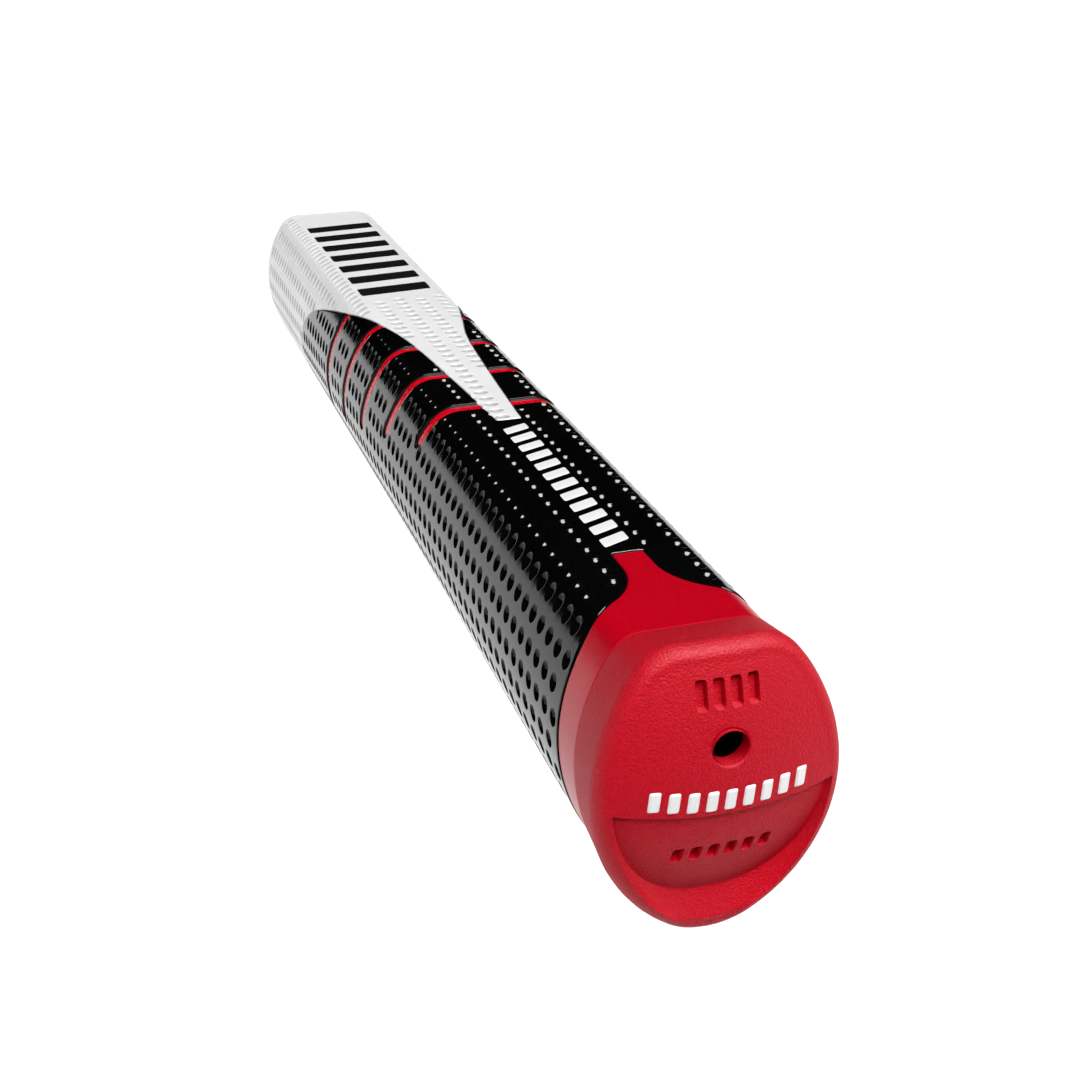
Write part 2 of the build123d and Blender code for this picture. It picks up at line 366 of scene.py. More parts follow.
def mark_pits(piece, pits):
    """Stores how deep in a dimple each point is, for the material's finish; on the white skin it also drives
    the painted shade in the dimples.
    """
    layer = piece.data.attributes.new(PIT, "FLOAT", "POINT")
    layer.data.foreach_set("value", pits[:len(piece.data.vertices)].astype(np.float32))


# ------------------------------------------------------------------ skins: rows of oval dimples

ROW_MIDDLE = -0.85
ROW_PITCH = 4.1
ROWS_A_SIDE = 11
DIMPLE_PITCH = GROOVE_PITCH / 5.5
OVAL = (1.34, 1.08)       # a dimple's half sizes, round and along
BOWL = 1.22               # radius of its sphere over the radius of its rim
OVAL_POINTS = 16
RINGS = (1.08, 1.01, 0.96, 0.80, 0.46)    # shares of the oval: a loop close round the rim, then the bowl
STEP = DIMPLE_PITCH / 4
EDGE_ROW = (ROWS_A_SIDE + 0.5) * ROW_PITCH
STRIP_COLUMNS = 5
NO_DIMPLE = 9.0
SKIN_GAP = 0.03           # between a skin's edge and what it meets
SKIN_SUNK = skin_thickness - 0.02
SKIN_SHARP = 55


def cell_mesh(start, end):
    """Cells round each dimple between two places along, with plain strips beside the seam."""
    points, faces = [], []
    half_s, half_y = ROW_PITCH / 2, DIMPLE_PITCH / 2
    turns = 2 * np.pi * np.arange(OVAL_POINTS) / OVAL_POINTS
    cos, sin = np.cos(turns), np.sin(turns)
    scale = 1 / np.maximum(np.abs(cos), np.abs(sin))
    quarter = OVAL_POINTS // 8
    edge = np.stack([np.round(v * scale * quarter) / quarter * half
                     for v, half in ((cos, half_s), (sin, half_y))], axis=1)
    oval = np.stack([OVAL[0] * cos, OVAL[1] * sin], axis=1)
    rings = [edge] + [oval * ring for ring in RINGS] + [np.zeros((1, 2))]
    cell = np.vstack(rings)
    quads = []
    for ring in range(len(RINGS)):
        for k in range(OVAL_POINTS):
            outer, after = ring * OVAL_POINTS, (k + 1) % OVAL_POINTS
            inner = outer + OVAL_POINTS
            quads.append((outer + k, outer + after, inner + after, inner + k))
    last = len(RINGS) * OVAL_POINTS
    quads += [(last + k, last + (k + 1) % OVAL_POINTS, last + OVAL_POINTS) for k in range(OVAL_POINTS)]
    low = math.floor((start - FIRST_GROOVE) / DIMPLE_PITCH) - 1
    high = math.ceil((end - FIRST_GROOVE) / DIMPLE_PITCH) + 1
    blocks, base = [], 0
    for row in range(-ROWS_A_SIDE, ROWS_A_SIDE + 1):
        for number in range(low, high + 1):
            middle = (ROW_MIDDLE + row * ROW_PITCH, FIRST_GROOVE + (number + row % 2 / 2) * DIMPLE_PITCH)
            blocks.append(cell + middle)
            faces += [tuple(i + base for i in quad) for quad in quads]
            base += len(cell)
    ys = FIRST_GROOVE + STEP * np.arange(4 * low - 4, 4 * high + 8)
    for ss in (np.linspace(ROW_MIDDLE + EDGE_ROW, HALF_ROUND, STRIP_COLUMNS),
               np.linspace(-HALF_ROUND, ROW_MIDDLE - EDGE_ROW, STRIP_COLUMNS)):
        more, strip = grid(ss, ys)
        faces += [tuple(i + base for i in quad) for quad in strip]
        blocks.append(np.array(more))
        base += len(more)
    return merge(np.vstack(blocks), faces)


def nearest_dimple(s, y):
    """Distance from the nearest dimple's middle, 1 at its rim, and where that middle is."""
    row = np.round((s - ROW_MIDDLE) / ROW_PITCH)
    middle_s = ROW_MIDDLE + row * ROW_PITCH
    shifted = FIRST_GROOVE + np.mod(row, 2) * DIMPLE_PITCH / 2
    middle_y = shifted + np.round((y - shifted) / DIMPLE_PITCH) * DIMPLE_PITCH
    radius = np.hypot((s - middle_s) / OVAL[0], (y - middle_y) / OVAL[1])
    return np.where(np.abs(row) > ROWS_A_SIDE, NO_DIMPLE, radius), middle_s, middle_y


def bowl(radius):
    """A dimple's depth from 0 to 1: a part of a sphere, BOWL times the rim's radius."""
    rim = math.sqrt(BOWL**2 - 1)
    return (np.sqrt(BOWL**2 - np.clip(radius, 0, 1)**2) - rim) / (BOWL - rim)


def shift(level, by, sign=1):
    return lambda s, y: sign * level(s, y) - by


def make_skin(name, flat, depth, pits, material, node):
    """Lays a flat mesh on the grip, closes its edges and stores its pits."""
    points, faces = compact(*flat)
    s, y = points.T
    coords, faces = with_skirt(on_grip(s, y, depth(s, y)), faces, on_grip(s, y, SKIN_SUNK))
    piece = make_object(name, coords, faces, material, node, SKIN_SHARP)
    mark_pits(piece, np.concatenate([pits(s, y), np.zeros(len(s))]))


BLACK_DIMPLE = 0.66
BLACK_CLEAR = (0.8, 1.2)  # dimples fade out between these distances from an edge
BLACK_LIP = 0.25
BLACK_LIP_LOOPS = (0.07, 0.16, 0.3, 0.48)
GROOVE_LOOPS = (0.10, 0.04, -0.03, -0.09, -0.16)
TEXT_HALF = 1.5           # the painted bars' strip, which has no dimples


def black_dimple(s, y):
    """How deep in a black dimple a point is, from 0 to 1."""
    radius, middle_s, middle_y = nearest_dimple(s, y)
    clear = np.minimum(np.minimum(collar_distance(middle_s, middle_y), -white_distance(middle_s, middle_y)),
                       groove_distance(middle_s, middle_y))
    clear = np.minimum(clear, seam_room(middle_s, middle_y))
    clear = np.minimum(clear, np.abs(middle_s) - TEXT_HALF)
    return bowl(radius) * smooth(clear, *BLACK_CLEAR)


def black_depth(s, y):
    dimple = BLACK_DIMPLE * black_dimple(s, y)
    edge = np.minimum(np.minimum(collar_distance(s, y), -white_distance(s, y)), seam_room(s, y))
    groove = GROOVE_DEPTH * smooth(-groove_distance(s, y), -0.10, 0.16)
    return np.maximum(dimple, groove) + lip(edge - SKIN_GAP, BLACK_LIP)


def black_pits(s, y):
    return np.maximum(black_dimple(s, y), smooth(-groove_distance(s, y), -0.12, 0.0))


def make_black_skin(material):
    points, faces = cell_mesh(collar_y, swoosh_y + 4)
    points, faces = cut(points, faces, shift(collar_distance, SKIN_GAP))
    points, faces = cut(points, faces, shift(white_distance, SKIN_GAP, -1))
    points, faces = cut(points, faces, shift(seam_room, SKIN_GAP))
    for level in BLACK_LIP_LOOPS:
        points, faces = cut(points, faces, shift(collar_distance, level), False)
        points, faces = cut(points, faces, shift(white_distance, level, -1), False)
    flat = cut_loops(points, faces, groove_distance, GROOVE_LOOPS)
    make_skin("black_wrap", flat, black_depth, black_pits, material, "black_skin")


WHITE_DIMPLE = 0.5
WHITE_CLEAR = (0.5, 0.9)
WHITE_LIP = 0.3
WHITE_LIP_LOOPS = (0.08, 0.18, 0.34)
PRINT_HALF = 8.2          # the large painted bars' patch, which has no dimples
PRINT_START = face_y + 168.0


def white_dimple(s, y):
    """How deep in a white dimple a point is, from 0 to 1."""
    radius, middle_s, middle_y = nearest_dimple(s, y)
    clear = np.minimum(white_distance(middle_s, middle_y), nose_y - middle_y)
    clear = np.minimum(clear, seam_room(middle_s, middle_y))
    printed = np.maximum(np.abs(middle_s) - PRINT_HALF, PRINT_START - middle_y)
    return bowl(radius) * smooth(clear, *WHITE_CLEAR) * smooth(printed, 0.0, 0.5)


def white_depth(s, y):
    edge = np.minimum(white_distance(s, y), seam_room(s, y))
    return WHITE_DIMPLE * white_dimple(s, y) + lip(edge - SKIN_GAP, WHITE_LIP)


def make_white_skin(material):
    points, faces = cell_mesh(blade_y, nose_y)
    points, faces = cut(points, faces, shift(white_distance, SKIN_GAP))
    points, faces = cut(points, faces, lambda s, y: nose_y - y)
    points, faces = cut(points, faces, shift(seam_room, SKIN_GAP))
    flat = cut_loops(points, faces, white_distance, WHITE_LIP_LOOPS)
    make_skin("white_wrap", flat, white_depth, white_dimple, material, "white_skin")


# ------------------------------------------------------------------ paint in the grooves

PAINT_HALF = 1.25
PAINT_END = 0.3           # the paint's straight part stops this short of the groove's
PAINT_BED = 0.09          # how far the paint's middle stands over the groove's floor
PAINT_CURVE = 0.08        # how much lower its edges are
PAINT_UNDER = 0.1         # how far it runs under the white skin's edge
PAINT_COLUMNS = 60


def paint_row(number, t, way):
    """Where a paint line runs, t from -1 to 1 across it."""
    middle, lean = groove_line(number, way)
    return middle + t * PAINT_HALF * lean


def make_groove_paint(side, name, node, material):
    """A paint line with a round end on each groove's floor, on one side of the grip."""
    coords, faces = np.zeros((0, 3)), []
    shares = np.linspace(-1, 1, 9)
    for number in range(GROOVES):
        rows = []
        for t in shares:
            end = groove_end(number) - PAINT_END + PAINT_HALF * math.sqrt(1 - t * t)
            way = np.linspace(0, end, 2000)
            start = way[np.nonzero(white_distance(way, paint_row(number, t, way)) < -PAINT_UNDER)[0][0]]
            way = np.linspace(start, end, PAINT_COLUMNS)
            depth = np.full(PAINT_COLUMNS, GROOVE_DEPTH - PAINT_BED + PAINT_CURVE * t * t)
            rows.append(on_grip(side * way, paint_row(number, t, way), depth))
        quads = grid(range(PAINT_COLUMNS), shares)[1]
        if side > 0:
            quads = [quad[::-1] for quad in quads]
        coords, faces = joined(coords, faces, np.vstack(rows), quads)
    make_object(name, coords, faces, material, node)


# ------------------------------------------------------------------ painted bars on the two flats

FLAT_BARS = face_y + 37.5 + 4.1 * np.arange(12)      # the bars' middles along the black flat
FLAT_BAR = (4.2, 2.6)
FLAT_BAR_ACROSS = -0.35   # across the flat, between two rows of dimples
LOWER_BARS = face_y + 176.5 + 11.0 * np.arange(7)    # and along the white flat
LOWER_BAR = (14.4, 6.0)
BAR_ROUND = 0.35
BAR_SLANT = 0.9           # how much further along a bar's end lies than its middle
BAR_RISE = 0.05
BAR_SUNK = 0.25
BAR_LOOPS = (0.06, 0.15)
BAR_COLUMNS = 24
BAR_ROWS = 20


def rounded(a, b, radius):
    """Distance outside a rounded rectangle, from the distances past its two half sizes less radius."""
    return np.hypot(np.maximum(a, 0), np.maximum(b, 0)) + np.minimum(np.maximum(a, b), 0) - radius


def bar_distance(s, y, middle, size, across):
    """Distance outside a slanted bar with round corners, negative in it."""
    along = (y - middle) - BAR_SLANT * (s - across) / (size[0] / 2)
    return rounded(np.abs(s - across) - (size[0] / 2 - BAR_ROUND), np.abs(along) - (size[1] / 2 - BAR_ROUND),
                   BAR_ROUND)


def cut_bar(flat, inside, loops):
    """Cuts a grid to a bar's outline and adds loops just inside its edge."""
    points, faces = cut(np.array(flat[0]), flat[1], inside)
    return compact(*cut_loops(points, faces, inside, loops))


def make_bars(name, node, material, middles, size, across=0.0):
    coords, faces = np.zeros((0, 3)), []
    half, reach = size[0] / 2 + 0.2, size[1] / 2 + BAR_SLANT + 0.3
    for middle in middles:

        def inside(s, y):
            return -bar_distance(s, y, middle, size, across)
        flat = grid(across + np.linspace(-half, half, BAR_COLUMNS),
                    np.linspace(middle - reach, middle + reach, BAR_ROWS))
        points, quads = cut_bar(flat, inside, BAR_LOOPS)
        s, y = points.T
        top = on_grip(s, y, -BAR_RISE * smooth(inside(s, y), 0.0, 0.13))
        top, quads = with_skirt(top, quads, on_grip(s, y, BAR_SUNK))
        coords, faces = joined(coords, faces, top, quads)
    make_object(name, coords, faces, material, node)


# ------------------------------------------------------------------ the cap

FACE_MIDDLE = -6.0
FACE_ROUND = 2.0
FACE_ROWS = 44
CAP_COLUMNS = 360
FLANGE_ROWS = 11
VENT_R = 2.1
VENT_POINTS = 64
VENT_LOOPS = (-0.25, -0.12, 0.0)
VENT_EDGE = 0.3           # width of the rounding round the vent
VENT_EDGE_DROP = 0.2
VENT_WALL = ((0.35, 1.0), (2.2, 1.0), (2.4, 2.4), (6.0, 2.4))    # depth, and share of the vent's radius
POCKET_TOP = -8.0
POCKET_HALF = 12.8
POCKET_BOTTOM = -21.3
POCKET_SAG = 0.9
POCKET_STEP = 0.65
POCKET_TILT = 2.1         # how much deeper the floor is at the pocket's lower edge
BEVEL_START = 0.3
BEVEL_GROWTH = 2.4
STEP_LOOPS = (-0.06, 0.05, 0.18)
BEVEL_LOOPS = (-0.02, 0.03, 0.5, 0.96, 1.02)
COLLAR_DEPTH = 0.12
COLLAR_LIP = 0.25
COLLAR_LOOPS = (0.1, 0.3, 0.6)
PARTING_LINE = ((-0.1, 0.06), (0.0, 0.22), (0.12, COLLAR_DEPTH + 0.06), (0.3, COLLAR_DEPTH))
CAP_SHARP = 24
ENGRAVED = 0.85
ENGRAVED_LOOPS = (0.06, -0.02, -0.14)
UPPER_MARKS, UPPER_PITCH, UPPER_Z, UPPER_MARK = 4, 2.0, 6.1, (1.25, 3.3)
LOWER_MARKS, LOWER_PITCH, LOWER_Z, LOWER_MARK = 6, 2.1, -14.0, (1.25, 2.0)
LOWER_SLANT = 0.15
FACE_BARS = 9
FACE_BAR = (1.3, 2.5)
FACE_BAR_PITCH = 2.15
FACE_BAR_Z = -6.2
FACE_BAR_RISE = 0.010
FACE_BAR_SLANT = 0.12
FACE_BAR_HEIGHT = 0.2
FACE_BAR_LOOPS = (0.08, 0.2)


def dome(x, z):
    """How far the domed face falls back from its top plane."""
    return DOME_R - np.sqrt(DOME_R**2 - x**2 - (z + DOME_DROP)**2)


def box_distance(x, z, cx, cz, size, slant=0.0, corner=0.25):
    """Distance outside a slanted box with round corners on the face."""
    return rounded(np.abs(x - cx - slant * (z - cz)) - size[0] / 2 + corner,
                   np.abs(z - cz) - size[1] / 2 + corner, corner)


def pocket_line(x):
    """The pocket's upper edge, a shallow smile."""
    return POCKET_TOP + POCKET_SAG * (x / POCKET_HALF)**2


def pocket_distance(x, z):
    """Distances inside the pocket's upper edge and over its round lower edge."""
    share = np.clip(np.abs(x) / POCKET_HALF, 0, 1)
    lower = POCKET_BOTTOM + (POCKET_TOP + POCKET_SAG - POCKET_BOTTOM) * (1 - (1 - share**2.4)**(1 / 1.7))
    slope = np.hypot(1, (POCKET_BOTTOM - POCKET_TOP) / POCKET_HALF * 1.2 * share**2)
    return pocket_line(x) - z, (z - lower) / slope


def pocket_low(z):
    """0 at the pocket's top, 1 at its bottom."""
    return np.clip((POCKET_TOP - z) / (POCKET_TOP - POCKET_BOTTOM), 0, 1.3)


def bevel_share(x, z):
    """How far down the pocket's sloped wall a point is, 0 at the lip and 1 at the floor."""
    bevel = BEVEL_START + BEVEL_GROWTH * pocket_low(z)**1.3
    return (pocket_distance(x, z)[1] + bevel) / (bevel + 0.12)


def pocket_depth(x, z):
    """The pocket's floor tilts inward toward the keel, and a wide bevel climbs out of it."""
    floor = POCKET_STEP + POCKET_TILT * pocket_low(z)**1.4
    return floor * smooth(pocket_distance(x, z)[0], -0.05, 0.18) * np.clip(bevel_share(x, z), 0, 1)


def face_marks(x, z):
    """Distance outside the engraved bars over the vent and in the pocket."""
    nearest = np.full_like(x, OFF_SURFACE)
    for k in range(UPPER_MARKS):
        middle = (k - (UPPER_MARKS - 1) / 2) * UPPER_PITCH
        nearest = np.minimum(nearest, box_distance(x, z, middle, UPPER_Z, UPPER_MARK))
    for k in range(LOWER_MARKS):
        middle = (k - (LOWER_MARKS - 1) / 2) * LOWER_PITCH
        nearest = np.minimum(nearest, box_distance(x, z, middle, LOWER_Z, LOWER_MARK, LOWER_SLANT))
    return nearest


def face_depth(x, z):
    """How far the face lies behind its own top plane."""
    return dome(x, z) + pocket_depth(x, z) + ENGRAVED * smooth(-face_marks(x, z), -0.03, 0.12)


def flange_point(way, y):
    """A point on the flange at a place round and along."""
    return surface(way, y, 0.0, flange, butt, face_y, parting_y)


def face_rim(ways):
    """The face's outline: directions from its middle, reach, rounding and where the rounding ends."""
    rim_y = np.full(len(ways), face_y + 4.0)
    for _ in range(6):
        x, _, z = flange_point(ways, rim_y)
        rounding = FACE_ROUND + 0.3 * smooth(-z, 5.0, 20.0) - 0.4 * smooth(z, 2.0, 9.0)
        rim_y = face_y + dome(x, z) + rounding
    reach = np.hypot(x, z - FACE_MIDDLE)
    return x / reach, (z - FACE_MIDDLE) / reach, reach, rounding, rim_y


def cut_face(flat, faces):
    """Cuts the vent out of the flat face and adds loops for everything that is sunk in it."""
    flat, faces = cut(flat, faces, lambda x, z: np.hypot(x, z) - VENT_R)
    flat, faces = cut_loops(flat, faces, lambda x, z: -np.hypot(x, z) + VENT_R, VENT_LOOPS)
    flat, faces = cut_loops(flat, faces, face_marks, ENGRAVED_LOOPS)
    for level in STEP_LOOPS:
        flat, faces = cut(flat, faces, lambda x, z: np.where(
            pocket_distance(x, z)[1] > -0.3, pocket_distance(x, z)[0] - level, -1.0), False)
    for level in BEVEL_LOOPS:
        flat, faces = cut(flat, faces, lambda x, z: np.where(
            pocket_distance(x, z)[0] > 0, bevel_share(x, z) - level, -1.0), False)
    return flat, faces


def make_face(ux, uz, reach, rounding):
    """The domed face inside its rounding; the outer ring's point numbers come third."""
    n = len(ux)
    shares = np.linspace(0.04, 1, FACE_ROWS)
    reaches = [(reach - rounding) * share for share in shares]
    flat = np.vstack([np.stack([ux * r, uz * r], axis=1) for r in reaches] + [[[0.0, 0.0]]])
    rows = [range(r * n, (r + 1) * n) for r in range(FACE_ROWS)]
    faces = [quad for a, b in zip(rows, rows[1:]) for quad in ring_quads(a, b)]
    faces += [((k + 1) % n, k, FACE_ROWS * n) for k in range(n)]
    flat, faces = cut_face(flat + [0.0, FACE_MIDDLE], faces)
    x, z = flat.T
    edge = smooth(VENT_R + VENT_EDGE - np.hypot(x, z), 0.0, VENT_EDGE)
    return np.stack([x, face_y + face_depth(x, z) + VENT_EDGE_DROP * edge, z], axis=1), faces, rows[-1]


def flange_rings(ways, ux, uz, reach, rounding, rim_y):
    """Rings down the rounded rim, the flange and the fine parting line."""
    inner = reach - rounding
    lip_y = face_y + dome(ux * inner, FACE_MIDDLE + uz * inner)
    rings = []
    for angle in np.linspace(0, math.pi / 2, 9)[1:]:
        r = reach - rounding * (1 - math.sin(angle))
        y = lip_y + (rim_y - lip_y) * (1 - math.cos(angle))
        rings.append(np.stack([ux * r, y, FACE_MIDDLE + uz * r], axis=1))
    for share in np.linspace(0, 1, FLANGE_ROWS + 1)[1:]:
        y = rim_y + (parting_y - 0.25 - rim_y) * share
        rings.append(np.stack(flange_point(ways, y), axis=1))
    for along, depth in PARTING_LINE:
        rings.append(on_grip(ways, np.full(len(ways), parting_y + along), depth))
    return rings


def make_collar():
    """The collar with its tongue, up to the skins' edge."""
    ys = np.arange(parting_y + 0.3, tongue_y + 0.5, 0.45)
    points, quads = grid(np.linspace(-HALF_ROUND, HALF_ROUND, 241), ys)
    points, quads = cut(np.array(points), quads, shift(collar_distance, 0.0, -1))
    points, quads = compact(*cut_loops(points, quads, shift(collar_distance, 0.0, -1), COLLAR_LOOPS))
    s, y = points.T
    top = on_grip(s, y, COLLAR_DEPTH + lip(-collar_distance(s, y), COLLAR_LIP))
    return with_skirt(top, quads, on_grip(s, y, SKIN_SUNK))


def make_vent_wall():
    """The vent's wall, which opens out behind the part that is seen."""
    turns = np.linspace(0, 2 * math.pi, VENT_POINTS + 1)[:-1]
    rings = [np.stack([VENT_R * share * np.cos(turns), np.full(VENT_POINTS, face_y + depth),
                       VENT_R * share * np.sin(turns)], axis=1) for depth, share in VENT_WALL]
    rows = [range(r * VENT_POINTS, (r + 1) * VENT_POINTS) for r in range(len(rings))]
    return np.vstack(rings), [quad for a, b in zip(rows, rows[1:]) for quad in ring_quads(b, a)]


def make_cap(material):
    ways = np.linspace(-HALF_ROUND, HALF_ROUND, CAP_COLUMNS + 1)[:-1]
    ux, uz, reach, rounding, rim_y = face_rim(ways)
    coords, faces, previous = make_face(ux, uz, reach, rounding)
    for ring in flange_rings(ways, ux, uz, reach, rounding, rim_y):
        current = range(len(coords), len(coords) + len(ways))
        coords = np.vstack([coords, ring])
        faces += ring_quads(previous, current)
        previous = current
    coords, faces = joined(coords, faces, *make_collar())
    coords, faces = compact(*joined(coords, faces, *make_vent_wall()))
    make_object("rubber_cap", coords, faces, material, "butt_cap", CAP_SHARP)


def make_face_bars(material):
    """Raised white bars in a row across the cap's face."""
    coords, faces = np.zeros((0, 3)), []
    w, h = FACE_BAR
    for k in range(FACE_BARS):
        cx = (k - (FACE_BARS - 1) / 2) * FACE_BAR_PITCH
        cz = FACE_BAR_Z + FACE_BAR_RISE * cx * cx

        def inside(x, z):
            return -box_distance(x, z, cx, cz, FACE_BAR, FACE_BAR_SLANT)
        flat = grid(np.linspace(cx - w, cx + w, 20), np.linspace(cz - h * 0.7, cz + h * 0.7, 24))
        points, quads = cut_bar(flat, inside, FACE_BAR_LOOPS)
        x, z = points.T
        raised = FACE_BAR_HEIGHT * smooth(inside(x, z), -0.01, 0.2)
        top = np.stack([x, face_y + dome(x, z) - raised, z], axis=1)
        low = np.stack([x, face_y + dome(x, z) + 0.3, z], axis=1)
        top, quads = with_skirt(top, [quad[::-1] for quad in quads], low)
        coords, faces = joined(coords, faces, top, quads)
    make_object("face_bars", coords, faces, material, "cap_mark_fill")


# ------------------------------------------------------------------ the nose

NOSE_ROUND = 1.6
NOSE_COLUMNS = 300
NOSE_JOINT = 0.12         # a fine groove where the nose meets the white skin
NOSE_SHARP = 50
# the bore's mouth: past the bore's radius, and past the grip's end
MOUTH_EDGE = ((0.25, 0.0), (0.07, -0.07), (0.0, -0.3), (0.0, nose_y - mouth_y))


def make_nose(material):
    ways = np.linspace(-HALF_ROUND, HALF_ROUND, NOSE_COLUMNS + 1)[:-1]
    n = len(ways)
    rings = []
    for angle in np.linspace(0, math.pi / 2, 12):
        depth = NOSE_ROUND * (1 - math.cos(angle)) + NOSE_JOINT * math.exp(-angle * 14)
        ring = on_grip(ways, np.full(n, nose_y), depth)
        ring[:, 1] = nose_y + (mouth_y - nose_y) * math.sin(angle)
        rings.append(ring)
    turns = np.arctan2(rings[-1][:, 2], rings[-1][:, 0])
    for past, along in MOUTH_EDGE:
        radius = bore_r + past
        rings.append(np.stack([radius * np.cos(turns), np.full(n, mouth_y + along), radius * np.sin(turns)],
                              axis=1))
    rows = [range(r * n, (r + 1) * n) for r in range(len(rings))]
    faces = [quad for a, b in zip(rows, rows[1:]) for quad in ring_quads(a, b)]
    make_object("rubber_nose", np.vstack(rings), faces, material, "mouth_collar", NOSE_SHARP)


# ------------------------------------------------------------------ materials


MIX_FACTOR, MIX_A, MIX_B, MIX_RESULT = 0, 6, 7, 2    # a colour mix's sockets


def new_material(name, color, roughness, **sockets):
    """A Principled material; the other arguments are sockets, with _ for a space."""
    material = bpy.data.materials.new(name)
    material.use_nodes = True
    shader = material.node_tree.nodes["Principled BSDF"]
    shader.inputs["Base Color"].default_value = (*color, 1)
    shader.inputs["Roughness"].default_value = roughness
    for key, value in sockets.items():
        shader.inputs[key.replace("_", " ")].default_value = value
    return material


def noise(material, scale, detail=3.0, stretch=None):
    """A noise that stays fixed on the object."""
    nodes, links = material.node_tree.nodes, material.node_tree.links
    place = nodes.new("ShaderNodeTexCoord")
    source = place.outputs["Object"]
    if stretch:
        mapping = nodes.new("ShaderNodeMapping")
        mapping.inputs["Scale"].default_value = stretch
        links.new(source, mapping.inputs["Vector"])
        source = mapping.outputs["Vector"]
    texture = nodes.new("ShaderNodeTexNoise")
    texture.inputs["Scale"].default_value = scale
    texture.inputs["Detail"].default_value = detail
    links.new(source, texture.inputs["Vector"])
    return texture.outputs["Fac"]


def ramp(material, source, low, high, start=0.3, end=0.7):
    """Goes from low to high while the source goes from start to end."""
    nodes, links = material.node_tree.nodes, material.node_tree.links
    scale = nodes.new("ShaderNodeMapRange")
    scale.inputs["From Min"].default_value = start
    scale.inputs["From Max"].default_value = end
    scale.inputs["To Min"].default_value = low
    scale.inputs["To Max"].default_value = high
    links.new(source, scale.inputs["Value"])
    return scale.outputs["Result"]


def bump(material, source, distance, strength=1.0):
    nodes, links = material.node_tree.nodes, material.node_tree.links
    node = nodes.new("ShaderNodeBump")
    node.inputs["Distance"].default_value = distance
    node.inputs["Strength"].default_value = strength
    links.new(source, node.inputs["Height"])
    links.new(node.outputs["Normal"], nodes["Principled BSDF"].inputs["Normal"])
    return node


def tint(material, source, dark, light):
    """Varies the base colour a little between two colours."""
    nodes, links = material.node_tree.nodes, material.node_tree.links
    mix = nodes.new("ShaderNodeValToRGB")
    mix.color_ramp.elements[0].position = 0.3
    mix.color_ramp.elements[1].position = 0.7
    mix.color_ramp.elements[0].color = (*dark, 1)
    mix.color_ramp.elements[1].color = (*light, 1)
    links.new(source, mix.inputs["Fac"])
    links.new(mix.outputs["Color"], nodes["Principled BSDF"].inputs["Base Color"])
    return mix.outputs["Color"]


def connect_roughness(material, source):
    nodes, links = material.node_tree.nodes, material.node_tree.links
    links.new(source, nodes["Principled BSDF"].inputs["Roughness"])


def pit_share(material, start, end):
    """0 on the surface and 1 in a dimple, between two places down its wall."""
    pit = material.node_tree.nodes.new("ShaderNodeAttribute")
    pit.attribute_name = PIT
    return ramp(material, pit.outputs["Fac"], 0.0, 1.0, start, end)


def black_pu():
    """Glossy, with matt floors in the dimples and grooves."""
    material = new_material("black_polyurethane", (0.003, 0.003, 0.003), 0.2, Specular_IOR_Level=0.37)
    nodes, links = material.node_tree.nodes, material.node_tree.links
    mix = nodes.new("ShaderNodeMix")
    links.new(pit_share(material, 0.86, 1.0), mix.inputs["Factor"])
    links.new(ramp(material, noise(material, 900), 0.09, 0.14), mix.inputs["A"])
    mix.inputs["B"].default_value = 0.5
    connect_roughness(material, mix.outputs["Result"])
    bump(material, noise(material, 2600, 2), 0.00001, 0.3)
    tint(material, noise(material, 60), (0.002, 0.002, 0.002), (0.004, 0.004, 0.0045))
    return material


def white_pu():
    """Satin, with painted shade in the dimples: their base colour turns grey down their walls."""
    material = new_material("white_polyurethane", (0.76, 0.76, 0.76), 0.35)
    connect_roughness(material, ramp(material, noise(material, 700), 0.28, 0.42))
    bump(material, noise(material, 2200, 2), 0.00002, 0.5)
    nodes, links = material.node_tree.nodes, material.node_tree.links
    mixed = tint(material, noise(material, 45), (0.74, 0.74, 0.745), (0.78, 0.78, 0.78))
    # painted shade: the base colour goes grey down each dimple's wall, standing in for the shade that falls
    # there
    shade = nodes.new("ShaderNodeMix")
    shade.data_type = "RGBA"
    links.new(pit_share(material, 0.02, 0.3), shade.inputs[MIX_FACTOR])
    links.new(mixed, shade.inputs[MIX_A])
    shade.inputs[MIX_B].default_value = (0.40, 0.40, 0.41, 1)
    links.new(shade.outputs[MIX_RESULT], nodes["Principled BSDF"].inputs["Base Color"])
    return material


def red_rubber():
    """Smooth on the collar and grained on the cap, which starts at the parting line."""
    material = new_material("red_rubber", (0.47, 0.0015, 0.016), 0.45)
    nodes, links = material.node_tree.nodes, material.node_tree.links
    place = nodes.new("ShaderNodeTexCoord")
    split = nodes.new("ShaderNodeSeparateXYZ")
    links.new(place.outputs["Object"], split.inputs["Vector"])
    blend = 0.3
    grain = ramp(material, split.outputs["Y"], 1.0, 0.0, (parting_y - blend) * MM, (parting_y + blend) * MM)
    rough = nodes.new("ShaderNodeMapRange")
    rough.inputs["To Min"].default_value = 0.30
    rough.inputs["To Max"].default_value = 0.58
    links.new(grain, rough.inputs["Value"])
    connect_roughness(material, rough.outputs["Result"])
    node = bump(material, noise(material, 3800, 2), 0.00013)
    links.new(grain, node.inputs["Strength"])
    tint(material, noise(material, 3000, 2), (0.42, 0.001, 0.013), (0.52, 0.002, 0.019))
    return material


def red_paint():
    material = new_material("red_paint", (0.62, 0.004, 0.02), 0.25)
    connect_roughness(material, ramp(material, noise(material, 800), 0.2, 0.32))
    bump(material, noise(material, 1500, 2), 0.00002, 0.5)
    return material


def white_paint():
    material = new_material("white_paint", (0.76, 0.76, 0.76), 0.35)
    connect_roughness(material, ramp(material, noise(material, 900), 0.3, 0.42))
    bump(material, noise(material, 1800, 2), 0.00002, 0.5)
    return material


